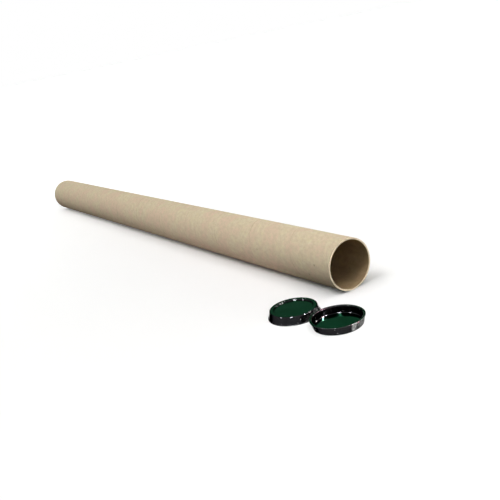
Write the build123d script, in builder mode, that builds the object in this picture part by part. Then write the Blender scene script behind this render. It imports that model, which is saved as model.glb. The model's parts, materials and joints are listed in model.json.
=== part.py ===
from build123d import *
import os
from math import cos, radians, sin, tan

# A cardboard mailing tube, spiral wound and cut square at both ends, with its pair of plastic plug
# caps pulled out and laid on the floor beside one mouth, one with its rim up and one turned over.
# Millimetres. The origin is the middle of the bore, +X runs along the tube towards the mouth with
# the caps, and +Z is up.

# Tube
tube_length = 1250.0
bore_diameter = 75.0
tube_wall = 2.5
cut_edge_radius = 0.3  # the sawn edges are slightly rubbed

# Plug caps
cap_height = 12.0
cap_wall = 1.5  # at the ring and the panel, and at the foot of the side
plug_clearance = 0.3  # between the bore and the plug under its lip, on the radius
plug_draft = 14.5  # degrees, the plug narrows towards its closed end
lip_overlap = 0.5  # how far the lip reaches over the tube's cut end
lip_thickness = 1.2
rim_width = 2.7  # flat top of the rim, so the side thickens towards it
ring_width = 6.0  # flat ring around the panel, on the closed end
panel_depth = 1.8  # how far the panel is sunk below that ring
panel_draft = 12.0  # degrees, the side of the sunken panel leans out
closed_corner_radius = 1.2  # between the closed end and the side
foot_corner_radius = 1.1  # inside the cup, at the foot of the side
panel_corner_radius = 0.5  # around the bottom of the sunken panel
edge_radius = 0.4  # the cap's other edges

# Where the caps lie
open_cap_ahead = 72.7  # from the mouth to the centre of the cap with its rim up
open_cap_gap = 15.7  # from the tube's side to the lip of that cap, seen from above
cap_spacing = 4.6  # between the two lips, seen from above
cap_line_angle = 10.1  # degrees, between the tube and the line through both caps

# The tube's own shape, and the floor that everything lies on
bore_radius = bore_diameter / 2
outer_radius = bore_radius + tube_wall
mouth_x = tube_length / 2
floor_z = -outer_radius

# The plug fits the bore, and its lip seats on the cut end
plug_radius = bore_radius - plug_clearance
lip_radius = bore_radius + lip_overlap
lip_z = cap_height - lip_thickness
plug_slope = tan(radians(plug_draft))
ring_radius = plug_radius - lip_z * plug_slope
panel_radius = ring_radius - ring_width
panel_lean = panel_depth * tan(radians(panel_draft))
lip_edge_radius = min(edge_radius, (lip_radius - plug_radius) / 3, lip_thickness / 3)
sunk_corner_radius = min(panel_corner_radius, panel_depth / 1.6)


def side_radius(height):
    """Outer radius of the plug's leaning side, at a height above its closed end."""
    return ring_radius + height * plug_slope


# Half section of a cap, from the axis out and back: its corners, with the radius of each one.
# The closed end is on the x axis and the rim at cap_height.
cap_section = [
    ((0, panel_depth), 0),
    ((panel_radius - panel_lean, panel_depth), sunk_corner_radius),
    ((panel_radius, 0), edge_radius),
    ((ring_radius, 0), closed_corner_radius),
    ((plug_radius, lip_z), lip_edge_radius),
    ((lip_radius, lip_z), lip_edge_radius),
    ((lip_radius, cap_height), lip_edge_radius),
    ((lip_radius - rim_width, cap_height), lip_edge_radius),
    ((side_radius(cap_wall) - cap_wall, cap_wall), foot_corner_radius),
    ((panel_radius + cap_wall, cap_wall), edge_radius),
    ((panel_radius + cap_wall - panel_lean, panel_depth + cap_wall), edge_radius),
    ((0, panel_depth + cap_wall), 0),
]
section_corners = [corner for corner, _ in cap_section]
section_radii = [radius for _, radius in cap_section]

# The two caps lie side by side, their centres on one slanted line
open_cap_x = mouth_x + open_cap_ahead
open_cap_y = -(outer_radius + open_cap_gap + lip_radius)
cap_pitch = 2 * lip_radius + cap_spacing
turned_cap_x = open_cap_x - cap_pitch * cos(radians(cap_line_angle))
turned_cap_y = open_cap_y - cap_pitch * sin(radians(cap_line_angle))

# Section planes through each cap's centre: up the plane is towards the rim
open_cap_plane = Plane((open_cap_x, open_cap_y, floor_z), x_dir=(1, 0, 0), z_dir=(0, -1, 0))
turned_cap_plane = Plane(
    (turned_cap_x, turned_cap_y, floor_z + cap_height), x_dir=(1, 0, 0), z_dir=(0, 1, 0)
)

os.makedirs("parts", exist_ok=True)

# One glued wall of wound card, open at both ends
with BuildPart() as tube:
    with BuildSketch(Plane.YZ.offset(-mouth_x)):
        Circle(outer_radius)
        Circle(bore_radius, mode=Mode.SUBTRACT)
    extrude(amount=tube_length)
    fillet(tube.edges().filter_by(GeomType.CIRCLE), min(cut_edge_radius, tube_wall / 3))
tube.part.label = "tube"
export_step(tube.part, "parts/tube.step")

# Moulded plug caps, alike but for the way up that they lie
for cap_name, section_plane in (
    ("end_cap_rim_up", open_cap_plane),
    ("end_cap_rim_down", turned_cap_plane),
):
    with BuildPart() as cap:
        with BuildSketch(section_plane):
            with BuildLine():
                FilletPolyline(section_corners, radius=section_radii, close=True)
            make_face()
        revolve(axis=Axis(section_plane.origin, section_plane.y_dir))
    cap.part.label = cap_name
    export_step(cap.part, f"parts/{cap_name}.step")
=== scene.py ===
import json
from collections import namedtuple
from math import atan2, cos, floor, hypot, pi, radians, sin, tan
import bmesh
import bpy
from mathutils import Matrix, Vector, noise


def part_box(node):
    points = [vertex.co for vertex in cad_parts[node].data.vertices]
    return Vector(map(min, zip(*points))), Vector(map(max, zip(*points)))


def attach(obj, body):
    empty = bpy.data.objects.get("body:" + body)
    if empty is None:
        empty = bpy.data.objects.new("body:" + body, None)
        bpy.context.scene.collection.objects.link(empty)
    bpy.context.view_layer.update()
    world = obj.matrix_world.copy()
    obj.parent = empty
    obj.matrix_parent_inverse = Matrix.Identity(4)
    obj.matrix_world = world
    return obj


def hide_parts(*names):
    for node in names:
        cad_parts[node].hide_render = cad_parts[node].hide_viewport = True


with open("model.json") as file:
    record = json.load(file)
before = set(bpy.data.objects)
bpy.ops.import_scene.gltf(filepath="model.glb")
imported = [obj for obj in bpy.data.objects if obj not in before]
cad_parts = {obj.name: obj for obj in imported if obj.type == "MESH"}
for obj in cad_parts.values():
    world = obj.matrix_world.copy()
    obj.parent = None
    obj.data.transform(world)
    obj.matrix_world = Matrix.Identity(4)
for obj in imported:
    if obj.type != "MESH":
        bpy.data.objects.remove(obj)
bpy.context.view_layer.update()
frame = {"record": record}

# The look of a cardboard mailing tube with its two plug caps lying beside its mouth.
# Metres, in the frame of the solids: the bore's axis is the X axis and +Z is up.

# Sizes read from the frame
tube_low, tube_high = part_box("tube")
cap_low, cap_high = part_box("end_cap_rim_up")
tube_bore = next(mount for mount in frame["record"]["mounts"] if mount["name"] == "tube_bore")
BORE_RADIUS = tube_bore["dims"]["r_mm"] / 1000
FLOOR_Z = cap_low.z
OUTER_RADIUS = -FLOOR_Z
MOUTH_X, FAR_X = tube_high.x, tube_low.x
MOUTH = Vector((MOUTH_X, 0, 0))
TUBE_WALL = OUTER_RADIUS - BORE_RADIUS
LIP_RADIUS = (cap_high.x - cap_low.x) / 2
CAP_HEIGHT = cap_high.z - cap_low.z

# The winding: every ply advances by one lead in a turn, and its edges butt along a spiral seam
LEAD = 0.1152
OUTER_SEAM_SETBACK = 0.0023  # from the mouth to the outer seam, at the top of the tube
INNER_SEAM_SETBACK = 0.0480  # the same for the seam in the bore
SEAM_DEPTH = 0.00016
SEAM_HALF_WIDTH = 0.0004
SEAM_SHOULDER = 0.0016  # the ply's edges stand up a little within this distance of the seam
SHOULDER_HEIGHT = 0.00005
STRIPS_PER_LEAD = 9  # of the wall's mesh, from one seam to the next
STEPS_ROUND_TUBE = 144

# The sawn ends
PLIES = 6
PLY = TUBE_WALL / PLIES
PLY_GROOVE = 0.00006  # depth of the groove between two cut plies
PLY_GROOVE_HALF_WIDTH = PLY * 0.22
CUT_EDGE_RADIUS = 0.0003
CUT_EDGE_ANGLES = [radians(angle) for angle in (30, 60, 90)]
SAWN_DIP = PLY_GROOVE * 0.5  # depth of the sawn face's unevenness
SAWN_DIPS_ROUND = 9  # how close together the dips are, round the tube and across its wall
SAWN_DIPS_ACROSS = 3000

# The plug cap's section
CAP_WALL = 0.0015
PLUG_CLEARANCE = 0.0003
PLUG_RADIUS = BORE_RADIUS - PLUG_CLEARANCE
PLUG_SLOPE = tan(radians(14.5))
LIP_THICKNESS = 0.0012
LIP_Z = CAP_HEIGHT - LIP_THICKNESS
RIM_WIDTH = 0.0027
RING_WIDTH = 0.0060
RING_RADIUS = PLUG_RADIUS - LIP_Z * PLUG_SLOPE
PANEL_RADIUS = RING_RADIUS - RING_WIDTH
PANEL_DEPTH = 0.0018
PANEL_LEAN = PANEL_DEPTH * tan(radians(12))
CLOSED_CORNER_RADIUS = 0.0012
FOOT_CORNER_RADIUS = 0.0011
PANEL_CORNER_RADIUS = 0.0005
PANEL_EDGE_RADIUS = 0.0008  # rounder than the solid's, so that it catches the light
EDGE_RADIUS = 0.0004
LIP_EDGE_RADIUS = (LIP_RADIUS - PLUG_RADIUS) / 3
SUPPORT = 0.00012  # rings this close to each rounded corner keep the flats flat in the shading
STEPS_ROUND_CAP = 192
STEPS_PER_CORNER = 8

# Painted highlight on a cap's side: one narrow pale streak, and beside it a wide, fainter patch of
# painted sheen
PAINTED_STREAK_HALF_WIDTH = 8  # degrees round the cap
PAINTED_SHEEN_HALF_WIDTH = 26
PAINTED_SHEEN_FROM_STREAK = 28
PAINTED_SHEEN_SHARE = 0.45  # of the painted streak's strength

# The floor: the share of light that it gives back to the object, and a glow that keeps it white
FLOOR_REACH = 40.0
FLOOR_BOUNCE = (0.45, 0.395, 0.41, 1.0)
FLOOR_BOUNCE_FAR_OFF = (0.26, 0.23, 0.24, 1.0)
FLOOR_BOUNCE_AT_MOUTH = (0.07, 0.065, 0.06, 1.0)
FAR_OFF_FROM, FAR_OFF_TO = MOUTH_X - 0.25, MOUTH_X - 1.1
AT_MOUTH_FROM, AT_MOUTH_TO = MOUTH_X - 0.18, MOUTH_X - 0.02
FLOOR_GLOW = 0.22
GLOW_FROM, GLOW_TO = 0.2, 1.5  # distance from the mouth

# The lamps
SUN_DISTANCE = 3.0  # where a distant lamp hangs: it shines alike from any distance
NEAR_LAMP_DISTANCE = 1.5
NEAR_LAMP_WIDTH = 0.9

# The photograph's view
CAMERA_FROM_MOUTH = Vector((0.7582, -0.6087, 0.3515))
CAMERA_YAW, CAMERA_PITCH, CAMERA_ROLL = radians(59.53), radians(17.26), radians(-11.52)
CAMERA_LENS = 49.98
CAMERA_SENSOR = 36.0
CAMERA_CLIP_START = 0.01

WHITE = (1.0, 1.0, 1.0, 1.0)


def linear(red, green, blue):
    """A colour written as 0 to 255 screen values, as the linear colour that shaders take."""
    parts = [value / 255 for value in (red, green, blue)]
    light = [part / 12.92 if part <= 0.04045 else ((part + 0.055) / 1.055) ** 2.4 for part in parts]
    return (*light, 1.0)


# Kraft paper: its main tone, the tones that cloud it, and the seam
PaperColours = namedtuple("PaperColours", "pale deep rosy blond seam")
OUTSIDE_PAPER = PaperColours(
    pale=linear(213, 203, 175),
    deep=linear(200, 184, 157),
    rosy=linear(216, 191, 168),
    blond=linear(213, 202, 165),
    seam=linear(150, 126, 96),
)
# Painted shade: the bore's paper is set darker and more saturated than the outside paper, standing for
# the shade inside the bore
INSIDE_PAPER_WITH_PAINTED_SHADE = PaperColours(
    pale=linear(192, 169, 133),
    deep=linear(176, 152, 116),
    rosy=linear(190, 163, 128),
    blond=linear(190, 168, 124),
    seam=linear(130, 103, 72),
)
DARK_SPECK = linear(122, 96, 68)
PALE_SPECK = linear(232, 218, 190)
CUT_PAPER, CUT_PAPER_SHADE = linear(248, 232, 204), linear(236, 216, 184)
PLY_JOINT = linear(190, 166, 130)

# Cap plastic: black, with a painted dark-green reflection on the flat faces
BLACK, BLACK_HAZE = linear(34, 34, 36), linear(42, 42, 44)
# Painted highlight and dust: the pale colour of the side's painted streak and of its dust flecks
DUST_AND_HIGHLIGHT_WHITE = linear(222, 222, 220)
# Painted reflection: the dark green that the flat faces show, set as their colour
PAINTED_GREEN_REFLECTION, PAINTED_GREEN_REFLECTION_CLOUD = linear(13, 52, 32), linear(17, 58, 38)


class Finish:
    """A material around one Principled shader, with short calls that add nodes to it."""

    def __init__(self, name, **sockets):
        self.material = bpy.data.materials.new(name)
        self.material.use_nodes = True
        self.tree = self.material.node_tree
        self.shader = self.tree.nodes["Principled BSDF"]
        self.set(**sockets)

    def set(self, **sockets):
        """Puts values on the shader's sockets, named with _ for each space."""
        for socket, value in sockets.items():
            self.put(value, self.shader.inputs[socket.replace("_", " ")])

    def put(self, value, socket):
        """Links a node's output to a socket, or sets a plain value on it."""
        if isinstance(value, bpy.types.NodeSocket):
            self.tree.links.new(value, socket)
        else:
            socket.default_value = value

    def add(self, kind, **settings):
        node = self.tree.nodes.new(kind)
        for key, value in settings.items():
            setattr(node, key, value)
        return node

    def place(self):
        """The point on the piece, in metres: as a vector and as its x, y and z."""
        point = self.add("ShaderNodeTexCoord").outputs["Object"]
        split = self.add("ShaderNodeSeparateXYZ")
        self.put(point, split.inputs[0])
        return point, split.outputs

    def math(self, operation, first, second=0.0):
        node = self.add("ShaderNodeMath", operation=operation)
        self.put(first, node.inputs[0])
        self.put(second, node.inputs[1])
        return node.outputs[0]

    def plus(self, first, second):
        return self.math("ADD", first, second)

    def minus(self, first, second):
        return self.math("SUBTRACT", first, second)

    def times(self, first, second):
        return self.math("MULTIPLY", first, second)

    def over(self, first, second):
        return self.math("DIVIDE", first, second)

    def larger(self, first, second):
        return self.math("MAXIMUM", first, second)

    def length(self, first, second):
        """The length of a line that goes first one way and second at right angles to it."""
        return self.math("SQRT", self.plus(self.times(first, first), self.times(second, second)))

    def vector(self, *parts):
        node = self.add("ShaderNodeCombineXYZ")
        for part, socket in zip(parts, node.inputs):
            self.put(part, socket)
        return node.outputs[0]

    def noise(self, vector, scale, detail=2.0, roughness=0.5):
        node = self.add("ShaderNodeTexNoise")
        self.put(vector, node.inputs["Vector"])
        self.put(scale, node.inputs["Scale"])
        self.put(detail, node.inputs["Detail"])
        self.put(roughness, node.inputs["Roughness"])
        return node.outputs["Fac"]

    def ease(self, value, start, end, low=0.0, high=1.0):
        """A number that goes smoothly from low to high as value goes from start to end."""
        node = self.add("ShaderNodeMapRange", interpolation_type="SMOOTHSTEP")
        for part, socket in zip((value, start, end, low, high), node.inputs):
            self.put(part, socket)
        return node.outputs[0]

    def mix(self, factor, first, second):
        node = self.add("ShaderNodeMix", data_type="RGBA")
        self.put(factor, node.inputs["Factor"])
        self.put(first, node.inputs[6])
        self.put(second, node.inputs[7])
        return node.outputs[2]

    def flecks(self, vector, scale, share, size):
        """1 in small specks: a share of a Voronoi pattern's cells holds one, of differing size."""
        cells = self.add("ShaderNodeTexVoronoi")
        self.put(vector, cells.inputs["Vector"])
        self.put(scale, cells.inputs["Scale"])
        draw = self.add("ShaderNodeSeparateColor")
        self.put(cells.outputs["Color"], draw.inputs[0])
        radius = self.ease(draw.outputs[0], 1 - share, 1.0, 0.0, size)
        inner = self.times(radius, 0.4)
        edge = self.plus(radius, 0.001)
        return self.ease(cells.outputs["Distance"], edge, inner)

    def bump(self, height, distance, strength):
        node = self.add("ShaderNodeBump")
        self.put(strength, node.inputs["Strength"])
        self.put(distance, node.inputs["Distance"])
        self.put(height, node.inputs["Height"])
        self.set(Normal=node.outputs[0])

    def wound_strip(self, seam_setback, radius):
        """Where a point lies on the wound strip of paper.

        Returns metres along the strip, metres across it and metres from the seam.
        """
        _, (x, y, z) = self.place()
        turn = self.over(self.math("ARCTAN2", self.times(y, -1.0), z), 2 * pi)
        leads = self.over(self.minus(x, MOUTH_X - seam_setback), LEAD)
        wound = self.minus(leads, turn)
        across = self.math("FRACT", wound)
        turns = self.plus(self.math("FLOOR", wound), turn)
        along = self.times(turns, hypot(2 * pi * radius, LEAD))
        width = LEAD * cos(atan2(LEAD, 2 * pi * radius))
        from_seam = self.times(self.math("PINGPONG", across, 0.5), width)
        return along, self.times(across, width), from_seam


def wound_card(name, colours, seam_setback, radius):
    """Matt kraft paper, wound in a spiral: fibre streaks along the strip, specks and a thin seam."""
    card = Finish(name, Roughness=0.9, Specular_IOR_Level=0.0)
    point, _ = card.place()
    along, across, from_seam = card.wound_strip(seam_setback, radius)
    strip = card.vector(along, across, 0.0)

    # Tones, from the widest to the finest
    straw = card.noise(strip, scale=100.0, detail=5.0, roughness=0.75)
    paper = card.mix(card.ease(straw, 0.4, 0.64), colours.pale, colours.blond)
    blush = card.noise(point, scale=26.0, detail=4.0, roughness=0.6)
    paper = card.mix(card.ease(blush, 0.4, 0.62), paper, colours.rosy)
    clouds = card.noise(strip, scale=130.0, detail=5.0, roughness=0.7)
    pulp = card.noise(strip, scale=420.0, detail=3.0, roughness=0.65)
    tone = card.plus(card.times(clouds, 0.7), card.times(pulp, 0.3))
    paper = card.mix(card.ease(tone, 0.36, 0.64), paper, colours.deep)
    drawn_out = card.vector(card.times(along, 0.12), across, 0.0)
    streaks = card.noise(drawn_out, scale=900.0, detail=3.0, roughness=0.6)
    paper = card.mix(card.ease(streaks, 0.45, 0.75, 0.0, 0.08), paper, colours.deep)

    # Specks of bark and of pale fibre
    long_strip = card.vector(card.times(along, 0.55), across, 0.0)
    dark_specks = card.flecks(long_strip, scale=85.0, share=0.35, size=0.12)
    paper = card.mix(card.times(dark_specks, 0.7), paper, DARK_SPECK)
    pale_specks = card.flecks(card.vector(across, along, 1.0), scale=150.0, share=0.2, size=0.15)
    paper = card.mix(card.times(pale_specks, 0.35), paper, PALE_SPECK)

    # The seam shows more in some stretches than in others
    faded = card.ease(card.noise(strip, scale=18.0), 0.35, 0.65, 0.1, 0.75)
    seam = card.times(card.ease(from_seam, SEAM_HALF_WIDTH * 1.6, 0.0), faded)
    card.set(Base_Color=card.mix(seam, paper, colours.seam))
    card.bump(card.plus(pulp, card.times(streaks, 0.3)), distance=0.00012, strength=0.5)
    return card.material


def cut_card():
    """The sawn ends: paler open fibre, with the plies showing as fine rings."""
    card = Finish("kraft_cut_end", Roughness=0.92, Specular_IOR_Level=0.0)
    point, (_, y, z) = card.place()
    depth = card.over(card.minus(card.length(y, z), BORE_RADIUS), PLY)
    fibre = card.noise(point, scale=1400.0, detail=3.0, roughness=0.7)
    wander = card.times(card.minus(card.noise(point, scale=160.0), 0.5), 0.35)
    from_joint = card.math("PINGPONG", card.plus(depth, wander), 0.5)
    paper = card.mix(card.ease(fibre, 0.3, 0.7), CUT_PAPER, CUT_PAPER_SHADE)
    joint = card.ease(from_joint, 0.16, 0.02, 0.0, 0.5)
    card.set(Base_Color=card.mix(joint, paper, PLY_JOINT))
    card.bump(fibre, distance=0.0002, strength=0.6)
    return card.material


def cap_side(name, streak_angle, streak_strength):
    """Black moulded plastic of a cap's sides and edges, with a pale streak painted on one side as a
    highlight.

    streak_angle is where the painted streak is, in degrees round the cap, and streak_strength is its
    strength.
    The plastic is as dark at a slant as it is face on, so it is a dark metal with a low edge tint.
    """
    plastic = Finish(name, Specular_IOR_Level=0.0, Specular_Tint=(0.3, 0.3, 0.3, 1.0))
    point, (x, y, z) = plastic.place()
    from_axis = plastic.length(x, y)

    def side_at(angle, half_width):
        """1 on the side at an angle, fading out at half_width degrees to either hand."""
        along_x = plastic.times(x, cos(radians(angle)))
        along_y = plastic.times(y, sin(radians(angle)))
        facing = plastic.over(plastic.plus(along_x, along_y), from_axis)
        return plastic.ease(facing, cos(radians(half_width)), 1.0)

    # The painted highlight and the dust take the shine and the black away
    upright = plastic.vector(x, y, plastic.times(z, 0.5))
    scratches = plastic.noise(upright, scale=620.0, detail=4.0, roughness=0.75)
    # Painted highlight: a narrow pale streak and a wider pale patch on the side, broken up by the
    # scratch pattern
    painted_sheen = plastic.times(side_at(streak_angle + PAINTED_SHEEN_FROM_STREAK, PAINTED_SHEEN_HALF_WIDTH), PAINTED_SHEEN_SHARE)
    painted_streak_mask = plastic.larger(side_at(streak_angle, PAINTED_STREAK_HALF_WIDTH), painted_sheen)
    above_foot = plastic.ease(z, -CAP_HEIGHT / 2, -CAP_HEIGHT / 5)
    highlight_breakup = plastic.ease(scratches, 0.36, 0.58, 0.15 * streak_strength, streak_strength)
    painted_highlight = plastic.times(highlight_breakup, plastic.times(painted_streak_mask, above_foot))
    dust = plastic.times(plastic.flecks(point, scale=140.0, share=0.8, size=0.25), 0.6)
    dust_and_highlight = plastic.larger(painted_highlight, dust)
    haze = plastic.noise(point, scale=60.0)
    black = plastic.mix(plastic.ease(haze, 0.3, 0.7), BLACK, BLACK_HAZE)
    plastic.set(Base_Color=plastic.mix(dust_and_highlight, black, DUST_AND_HIGHLIGHT_WHITE))
    plastic.set(Metallic=plastic.ease(dust_and_highlight, 0.0, 0.3, 1.0, 0.0))

    # The lip is more matt than the rest
    lip_low = LIP_Z - CAP_HEIGHT / 2
    matt_lip = plastic.ease(z, lip_low - LIP_EDGE_RADIUS * 2, lip_low, 0.0, 0.3)
    plastic.set(Roughness=plastic.larger(plastic.ease(haze, 0.3, 0.7, 0.07, 0.14), matt_lip))
    plastic.bump(scratches, distance=0.00002, strength=0.3)
    return plastic.material


def flats_with_painted_reflection():
    """The cap's flat faces: black plastic with a painted dark-green reflection, set as a low
    green-tinted mirror.

    Plastic reflects white at every angle, and these faces are painted to mirror even a white room in
    dark green, so their shine is set as a metal's, whose colour is the painted tint.
    """
    plastic = Finish("cap_flat_painted_green_reflection", Metallic=1.0, Specular_Tint=(0.5, 0.5, 0.5, 1.0))
    point, _ = plastic.place()
    haze = plastic.noise(point, scale=90.0, detail=3.0, roughness=0.6)
    plastic.set(Roughness=plastic.ease(haze, 0.3, 0.7, 0.04, 0.1))
    cloud = plastic.ease(plastic.noise(point, scale=40.0), 0.3, 0.7)
    # Painted reflection: the green tint is the colour of the mirror
    plastic.set(Base_Color=plastic.mix(cloud, PAINTED_GREEN_REFLECTION, PAINTED_GREEN_REFLECTION_CLOUD))
    return plastic.material


def seam_relief(x, turn, setback):
    """How far a point lies from the wall's full size, as a number below zero.

    The seam is a groove between two shoulders, which reach the full size.
    """
    wound = (x - (MOUTH_X - setback)) / LEAD - turn
    from_seam = abs(wound - floor(wound + 0.5)) * LEAD
    if from_seam < SEAM_HALF_WIDTH:
        return -SEAM_DEPTH * (1 - from_seam / SEAM_HALF_WIDTH)
    return -SHOULDER_HEIGHT * min(1.0, (from_seam - SEAM_HALF_WIDTH) / SEAM_SHOULDER)


def wound_wall(bm, radius, side, low_x, high_x, setback, material):
    """One face of the wall as spiral strips, so that its edges follow the seam.

    side is 1 for the outside and -1 for the bore, where relief goes the other way.
    Returns the wall's two end rings.
    """
    near_seam = [0.0, SEAM_HALF_WIDTH / 2, SEAM_HALF_WIDTH, SEAM_HALF_WIDTH + SEAM_SHOULDER]
    coarse = [LEAD * strip / STRIPS_PER_LEAD for strip in range(1, STRIPS_PER_LEAD)]
    within_lead = near_seam + coarse + [LEAD - distance for distance in reversed(near_seam[1:])]
    first_lead = floor((low_x - MOUTH_X) / LEAD) - 2
    last_lead = floor((high_x - MOUTH_X) / LEAD) + 2
    starts = [
        MOUTH_X - setback + lead * LEAD + part
        for lead in range(first_lead, last_lead)
        for part in within_lead
    ]

    def point(x, step):
        turn = step / STEPS_ROUND_TUBE
        r = radius + side * seam_relief(x, turn, setback)
        return bm.verts.new((x, -r * sin(2 * pi * turn), r * cos(2 * pi * turn)))

    steps = range(STEPS_ROUND_TUBE)
    low_ring = [point(low_x, step) for step in steps]
    high_ring = [point(high_x, step) for step in steps]
    shortest = SEAM_HALF_WIDTH / 4
    grid = {}
    for line, start in enumerate(starts):
        for step in steps:
            x = start + LEAD * step / STEPS_ROUND_TUBE
            if x < low_x + shortest:
                grid[line, step] = low_ring[step]
            elif x > high_x - shortest:
                grid[line, step] = high_ring[step]
            else:
                grid[line, step] = point(x, step)
    for line in range(len(starts) - 1 - len(within_lead)):
        for step in steps:
            ahead = (line, step + 1)
            ahead_next = (line + 1, step + 1)
            if step + 1 == STEPS_ROUND_TUBE:
                # a full turn later, a spiral line has become the one that starts a lead further on
                ahead = (line + len(within_lead), 0)
                ahead_next = (line + 1 + len(within_lead), 0)
            loop = [grid[line, step], grid[line + 1, step], grid[ahead_next], grid[ahead]]
            corners = list(dict.fromkeys(loop))
            if len(corners) > 2:
                bm.faces.new(corners).material_index = material
    return low_ring, high_ring


def sawn_end(bm, outer_ring, inner_ring, wall_x, outward, material):
    """Joins the outside to the bore at one end, with the sawn face and its cut plies.

    Both edges of the face are rubbed round.
    """
    profile = [
        (CUT_EDGE_RADIUS * sin(angle), OUTER_RADIUS - CUT_EDGE_RADIUS * (1 - cos(angle)))
        for angle in CUT_EDGE_ANGLES
    ]
    for number in range(PLIES - 1, 0, -1):
        joint = BORE_RADIUS + number * PLY
        profile += [
            (CUT_EDGE_RADIUS, joint + PLY_GROOVE_HALF_WIDTH),
            (CUT_EDGE_RADIUS - PLY_GROOVE, joint),
            (CUT_EDGE_RADIUS, joint - PLY_GROOVE_HALF_WIDTH),
        ]
    profile += [
        (CUT_EDGE_RADIUS * sin(angle), BORE_RADIUS + CUT_EDGE_RADIUS * (1 - cos(angle)))
        for angle in reversed(CUT_EDGE_ANGLES)
    ]
    rings = [outer_ring]
    for reach, radius in profile:
        ring = []
        for step in range(STEPS_ROUND_TUBE):
            turn = 2 * pi * step / STEPS_ROUND_TUBE
            round_tube = Vector((cos(turn), sin(turn), 0)) * SAWN_DIPS_ROUND
            rough = noise.noise(round_tube + Vector((0, 0, radius * SAWN_DIPS_ACROSS)))
            x = wall_x + outward * (reach - SAWN_DIP * abs(rough))
            ring.append(bm.verts.new((x, -radius * sin(turn), radius * cos(turn))))
        rings.append(ring)
    rings.append(inner_ring)
    for ring, following in zip(rings, rings[1:]):
        for step in range(STEPS_ROUND_TUBE):
            after = (step + 1) % STEPS_ROUND_TUBE
            corners = [ring[step], ring[after], following[after], following[step]]
            bm.faces.new(corners).material_index = material


def finished_piece(name, bm, materials, node, place):
    """Makes a smooth object of a closed mesh and lets it stand for a solid of the frame."""
    bmesh.ops.recalc_face_normals(bm, faces=bm.faces[:])
    mesh = bpy.data.meshes.new(name)
    bm.to_mesh(mesh)
    bm.free()
    for material in materials:
        mesh.materials.append(material)
    mesh.polygons.foreach_set("use_smooth", [True] * len(mesh.polygons))
    piece = bpy.data.objects.new(name, mesh)
    bpy.context.scene.collection.objects.link(piece)
    piece.matrix_world = place
    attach(piece, "root")
    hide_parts(node)
    return piece


def make_tube():
    """The tube: its outside, its bore and its two sawn ends. The caps' gloss doesn't mirror it."""
    materials = [
        wound_card("kraft_outside", OUTSIDE_PAPER, OUTER_SEAM_SETBACK, OUTER_RADIUS),
        wound_card("kraft_inside_painted_shade", INSIDE_PAPER_WITH_PAINTED_SHADE, INNER_SEAM_SETBACK, BORE_RADIUS),
        cut_card(),
    ]
    outside, inside, cut_end = range(len(materials))
    low_x, high_x = FAR_X + CUT_EDGE_RADIUS, MOUTH_X - CUT_EDGE_RADIUS
    bm = bmesh.new()
    outer_low, outer_high = wound_wall(
        bm, OUTER_RADIUS, 1, low_x, high_x, OUTER_SEAM_SETBACK, outside
    )
    inner_low, inner_high = wound_wall(
        bm, BORE_RADIUS, -1, low_x, high_x, INNER_SEAM_SETBACK, inside
    )
    sawn_end(bm, outer_low, inner_low, low_x, -1, cut_end)
    sawn_end(bm, outer_high, inner_high, high_x, 1, cut_end)
    tube = finished_piece("wound_tube", bm, materials, "tube", Matrix())
    tube.visible_glossy = False


def rounded_outline(corners):
    """Points along an open outline of (r, z, radius, flat) corners, with the corners rounded.

    flat tells whether the run after a corner is a flat face, and each point comes with its own.
    """
    outline = []
    for number, (r, z, radius, flat) in enumerate(corners):
        here = Vector((r, z))
        if radius == 0:
            outline.append((here, flat))
            continue
        back = (Vector(corners[number - 1][:2]) - here).normalized()
        on = (Vector(corners[number + 1][:2]) - here).normalized()
        half = back.angle(on) / 2
        reach = radius / tan(half)
        middle = here + (back + on).normalized() * radius / sin(half)
        start, end = here + back * reach - middle, here + on * reach - middle
        turn = start.angle(end)
        outline.append((here + back * (reach + SUPPORT), corners[number - 1][3]))
        for step in range(STEPS_PER_CORNER + 1):
            share = step / STEPS_PER_CORNER
            arm = (start * sin(turn * (1 - share)) + end * sin(turn * share)) / sin(turn)
            outline.append((middle + arm, False if step < STEPS_PER_CORNER else flat))
        outline.append((here + on * (reach + SUPPORT), flat))
    return outline


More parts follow.
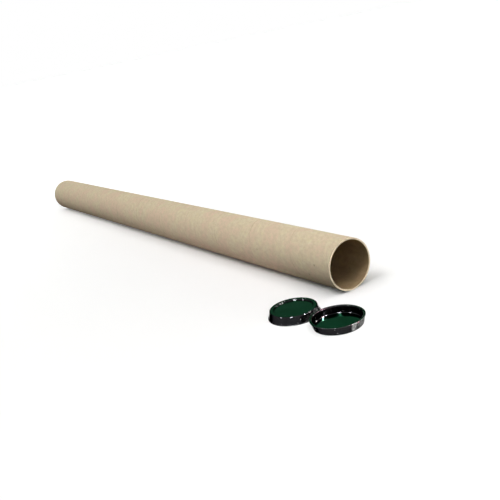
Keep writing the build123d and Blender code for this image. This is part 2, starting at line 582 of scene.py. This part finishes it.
def make_cap(name, node, turned_over, materials):
    """A plug cap, turned about its own axis and then laid in place.

    Flat faces take the second material. The light that a cap mirrors isn't thrown on the card.
    """

    def side_radius(height):
        return RING_RADIUS + height * PLUG_SLOPE

    corners = [
        (0, PANEL_DEPTH, 0, True),
        (PANEL_RADIUS - PANEL_LEAN, PANEL_DEPTH, PANEL_CORNER_RADIUS, False),
        (PANEL_RADIUS, 0, PANEL_EDGE_RADIUS, True),
        (RING_RADIUS, 0, CLOSED_CORNER_RADIUS, False),
        (PLUG_RADIUS, LIP_Z, LIP_EDGE_RADIUS, False),
        (LIP_RADIUS, LIP_Z, LIP_EDGE_RADIUS, False),
        (LIP_RADIUS, CAP_HEIGHT, LIP_EDGE_RADIUS, True),
        (LIP_RADIUS - RIM_WIDTH, CAP_HEIGHT, LIP_EDGE_RADIUS, False),
        (side_radius(CAP_WALL) - CAP_WALL, CAP_WALL, FOOT_CORNER_RADIUS, True),
        (PANEL_RADIUS + CAP_WALL, CAP_WALL, EDGE_RADIUS, False),
        (PANEL_RADIUS + CAP_WALL - PANEL_LEAN, PANEL_DEPTH + CAP_WALL, EDGE_RADIUS, True),
        (0, PANEL_DEPTH + CAP_WALL, 0, False),
    ]
    bm = bmesh.new()
    rings = []
    for (r, z), flat in rounded_outline(corners):
        height = z - CAP_HEIGHT / 2
        if r == 0:
            rings.append(([bm.verts.new((0, 0, height))] * STEPS_ROUND_CAP, flat))
            continue
        ring = []
        for step in range(STEPS_ROUND_CAP):
            turn = 2 * pi * step / STEPS_ROUND_CAP
            ring.append(bm.verts.new((r * cos(turn), r * sin(turn), height)))
        rings.append((ring, flat))
    for (ring, flat), (following, _) in zip(rings, rings[1:]):
        for step in range(STEPS_ROUND_CAP):
            after = (step + 1) % STEPS_ROUND_CAP
            loop = [ring[step], ring[after], following[after], following[step]]
            bm.faces.new(list(dict.fromkeys(loop))).material_index = int(flat)
    low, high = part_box(node)
    place = Matrix.Translation((low + high) / 2) @ Matrix.Rotation(pi if turned_over else 0, 4, "X")
    cap = finished_piece(name, bm, materials, node, place)
    cap.visible_diffuse = False
    return cap


def seen_rays(tree):
    """1 for rays that show a thing to the eye: straight from the camera, mirrored or through glass."""
    path = tree.nodes.new("ShaderNodeLightPath")
    total = path.outputs["Is Camera Ray"]
    for name in ("Is Glossy Ray", "Is Transmission Ray"):
        larger = tree.nodes.new("ShaderNodeMath")
        larger.operation = "MAXIMUM"
        tree.links.new(total, larger.inputs[0])
        tree.links.new(path.outputs[name], larger.inputs[1])
        total = larger.outputs[0]
    return total


def make_floor():
    """A wide floor that is seen as white, and that gives the object less light back."""
    mesh = bpy.data.meshes.new("floor")
    corners = [(-1, -1), (1, -1), (1, 1), (-1, 1)]
    points = [(x * FLOOR_REACH, y * FLOOR_REACH, FLOOR_Z) for x, y in corners]
    mesh.from_pydata(points, [], [(0, 1, 2, 3)])
    paper = Finish("floor_paper", Roughness=1.0, Specular_IOR_Level=0.0, Emission_Color=WHITE)
    _, (x, y, _) = paper.place()
    far_off = paper.ease(x, FAR_OFF_FROM, FAR_OFF_TO)
    at_mouth = paper.ease(x, AT_MOUTH_FROM, AT_MOUTH_TO)
    bounce = paper.mix(far_off, FLOOR_BOUNCE, FLOOR_BOUNCE_FAR_OFF)
    bounce = paper.mix(at_mouth, bounce, FLOOR_BOUNCE_AT_MOUTH)
    seen = seen_rays(paper.tree)
    paper.set(Base_Color=paper.mix(seen, bounce, WHITE))
    from_mouth = paper.length(paper.minus(x, MOUTH_X), y)
    glow = paper.ease(from_mouth, GLOW_FROM, GLOW_TO, 0.0, FLOOR_GLOW)
    paper.set(Emission_Strength=paper.times(seen, glow))
    mesh.materials.append(paper.material)
    piece = bpy.data.objects.new("floor", mesh)
    bpy.context.scene.collection.objects.link(piece)


def make_world(soft_light, colour):
    """An even room that is seen as white, and that lights the object at the level soft_light."""
    world = bpy.data.worlds.new("room")
    world.use_nodes = True
    bpy.context.scene.world = world
    tree = world.node_tree
    light = tree.nodes["Background"]
    light.inputs["Color"].default_value = colour
    light.inputs["Strength"].default_value = soft_light
    backdrop = tree.nodes.new("ShaderNodeBackground")
    backdrop.inputs["Color"].default_value = WHITE
    mix = tree.nodes.new("ShaderNodeMixShader")
    tree.links.new(seen_rays(tree), mix.inputs[0])
    tree.links.new(light.outputs[0], mix.inputs[1])
    tree.links.new(backdrop.outputs[0], mix.inputs[2])
    tree.links.new(mix.outputs[0], tree.nodes["World Output"].inputs["Surface"])


def hang_lamp(lamp, azimuth, elevation, distance):
    """Hangs a lamp at a distance from the mouth and turns it to the mouth.

    azimuth is in degrees: 0 on the side of the caps, where -Y is, and 90 straight before the mouth.
    """
    around, up = radians(azimuth), radians(elevation)
    towards = Vector((sin(around) * cos(up), -cos(around) * cos(up), sin(up)))
    piece = bpy.data.objects.new(lamp.name, lamp)
    piece.rotation_mode = "QUATERNION"
    piece.rotation_quaternion = towards.to_track_quat("Z", "Y")
    piece.location = MOUTH + towards * distance
    piece.visible_camera = False
    bpy.context.scene.collection.objects.link(piece)
    return piece


def make_sun(name, azimuth, elevation, level, width, colour):
    """A distant lamp, width degrees wide. level is the share of white it gives a surface facing it."""
    lamp = bpy.data.lights.new(name, "SUN")
    lamp.energy = level * pi
    lamp.angle = radians(width)
    lamp.color = colour
    return hang_lamp(lamp, azimuth, elevation, SUN_DISTANCE)


def make_lamp(name, azimuth, elevation, level, width, colour):
    """A distant soft lamp for the card. Gloss doesn't mirror it."""
    piece = make_sun(name, azimuth, elevation, level, width, colour)
    piece.visible_glossy = False


def make_near_lamp(name, azimuth, elevation, level, colour):
    """A soft round lamp close to the mouth, so that its light fades towards the far end.

    Gloss doesn't mirror it.
    """
    lamp = bpy.data.lights.new(name, "AREA")
    lamp.shape = "DISK"
    lamp.size = NEAR_LAMP_WIDTH
    lamp.energy = level * (pi * NEAR_LAMP_DISTANCE) ** 2
    lamp.color = colour
    piece = hang_lamp(lamp, azimuth, elevation, NEAR_LAMP_DISTANCE)
    piece.visible_glossy = False


def make_glint(name, azimuth, elevation, level, width, colour):
    """A narrow lamp that shows only as a highlight in gloss, and lights nothing else."""
    piece = make_sun(name, azimuth, elevation, level, width, colour)
    piece.visible_diffuse = False
    return piece


def light_only(lamp, piece):
    """Keeps a lamp's light to one piece."""
    lit = bpy.data.collections.new("lit_by_" + lamp.name)
    lit.objects.link(piece)
    lamp.light_linking.receiver_collection = lit


def make_camera():
    """The photograph's view: its place from the mouth's centre, the way it looks and its tilt."""
    forward = Vector((
        -sin(CAMERA_YAW) * cos(CAMERA_PITCH),
        cos(CAMERA_YAW) * cos(CAMERA_PITCH),
        -sin(CAMERA_PITCH),
    ))
    level = Vector((cos(CAMERA_YAW), sin(CAMERA_YAW), 0))
    upright = level.cross(forward)
    right = level * cos(CAMERA_ROLL) + upright * sin(CAMERA_ROLL)
    up = upright * cos(CAMERA_ROLL) - level * sin(CAMERA_ROLL)
    camera = bpy.data.cameras.new("camera")
    camera.sensor_width = CAMERA_SENSOR
    camera.lens = CAMERA_LENS
    camera.clip_start = CAMERA_CLIP_START
    piece = bpy.data.objects.new("camera", camera)
    turned = Matrix((right, up, -forward)).transposed().to_4x4()
    piece.matrix_world = Matrix.Translation(MOUTH + CAMERA_FROM_MOUTH) @ turned
    bpy.context.scene.collection.objects.link(piece)
    bpy.context.scene.camera = piece


make_camera()
make_tube()
flat_painted_reflection = flats_with_painted_reflection()
# The cap sides carry a painted highlight streak: strong on the open cap, faint on the turned one
side_with_painted_streak = cap_side("cap_side_up", streak_angle=-4, streak_strength=1.0)
side_with_faint_painted_streak = cap_side("cap_side_down", streak_angle=-30, streak_strength=0.3)
open_cap = make_cap("plug_cap_rim_up", "end_cap_rim_up", False, [side_with_painted_streak, flat_painted_reflection])
make_cap("plug_cap_rim_down", "end_cap_rim_down", True, [side_with_faint_painted_streak, flat_painted_reflection])
make_floor()
make_world(soft_light=0.3, colour=(0.94, 1.0, 0.97, 1.0))

# Lamps: azimuth and elevation in degrees, level, width in degrees and colour. The near one has no width.
make_lamp("lamp_key", -8, 59, 0.53, 40, (1.0, 0.985, 0.985))
make_lamp("lamp_back", 172, 10, 0.34, 40, (0.9, 1.0, 0.97))
make_near_lamp("lamp_near", 110, 70, 0.29, (1.0, 0.91, 0.92))
make_lamp("lamp_rim", 90, 4, 0.42, 6, (1.0, 1.0, 1.0))
make_glint("glint_left", -12, 26, 2.0, 12, (1.0, 1.0, 1.0))
make_glint("glint_front", 36, 52, 6.0, 14, (1.0, 1.0, 1.0))
make_glint("glint_right", 108, 33, 5.0, 6, (1.0, 0.92, 0.94))
make_glint("glint_behind", 156, 50, 2.5, 10, (1.0, 0.9, 0.85))
make_glint("glint_far", 174, 26, 1.5, 8, (1.0, 0.9, 0.85))
glint_beside = make_glint("glint_beside", 130, 41, 21.0, 3, (1.0, 0.42, 0.56))
light_only(glint_beside, open_cap)
bpy.context.scene.view_settings.view_transform = "Standard"
